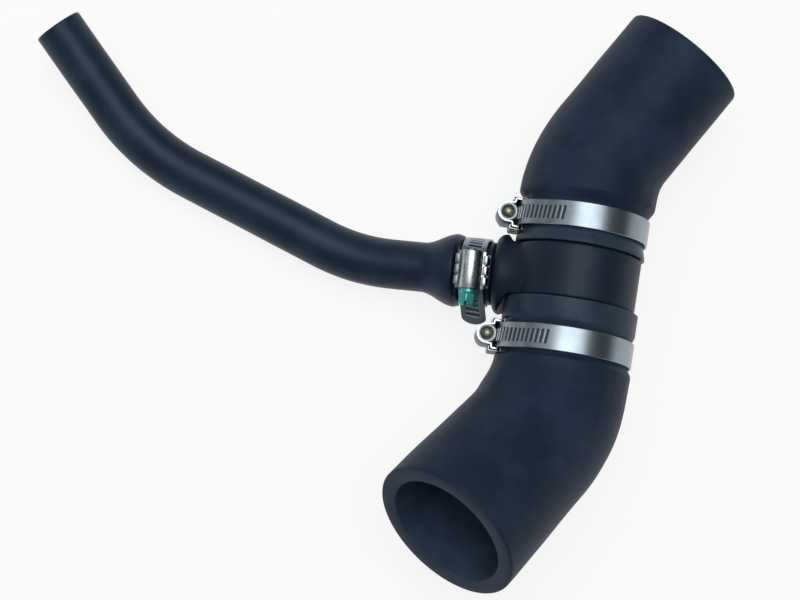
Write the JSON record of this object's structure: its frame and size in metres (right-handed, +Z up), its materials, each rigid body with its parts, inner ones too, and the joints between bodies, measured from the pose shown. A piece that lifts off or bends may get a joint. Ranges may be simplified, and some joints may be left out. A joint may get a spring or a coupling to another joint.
{
  "type": "branched coolant hose",
  "caption": "Branched rubber coolant hose: two large moulded hoses and a small side hose on a plastic tee, each held by a worm-drive clamp.",
  "frame": {"origin": "middle of the bounding box's base, on the surface that the hose lies on", "axes": "+Z up from the surface; +X across the assembly, from the small hose's cut end towards the upper hose's cut end; +Y away from the lower hose's mouth"},
  "size_m": [0.2474, 0.207, 0.0772],
  "materials": {
    "plastic": "moulded, dull sheen",
    "rubber": "moulded, matt",
    "steel_band": "rolled strip, bright edges",
    "zinc_plate": "bright zinc plate",
    "passivated_screw": "green passivated zinc"
  },
  "bodies": {
    "hose_assembly": {"tee_connector": "plastic", "upper_hose": "rubber", "lower_hose": "rubber", "branch_hose": "rubber", "upper_clamp_band": "steel_band", "upper_clamp_housing": "zinc_plate", "upper_clamp_saddle": "zinc_plate", "lower_clamp_band": "steel_band", "lower_clamp_housing": "zinc_plate", "lower_clamp_saddle": "zinc_plate", "branch_clamp_band": "steel_band", "branch_clamp_housing": "zinc_plate", "branch_clamp_saddle": "zinc_plate"},
    "upper_worm": {"upper_clamp_screw": "passivated_screw"},
    "lower_worm": {"lower_clamp_screw": "passivated_screw"},
    "branch_worm": {"branch_clamp_screw": "passivated_screw"}
  },
  "joints": [
    {"name": "upper_worm_turn", "type": "hinge", "parent": "hose_assembly", "child": "upper_worm", "pos_m": [0.04333, 0.02882, 0.02551], "axis": [-0.0345, 0.0056, -0.9994], "range_deg": [0, 2880], "deforming": ["upper_clamp_band"]},
    {"name": "lower_worm_turn", "type": "hinge", "parent": "hose_assembly", "child": "lower_worm", "pos_m": [0.0356, -0.01389, 0.02554], "axis": [-0.0345, 0.0056, -0.9994], "range_deg": [0, 2880], "deforming": ["lower_clamp_band"]},
    {"name": "branch_worm_turn", "type": "hinge", "parent": "hose_assembly", "child": "branch_worm", "pos_m": [0.02991, 0.00777, 0.03453], "axis": [-0.1064, -0.9888, -0.1044], "range_deg": [0, 2880], "deforming": ["branch_clamp_band"]}
  ]
}
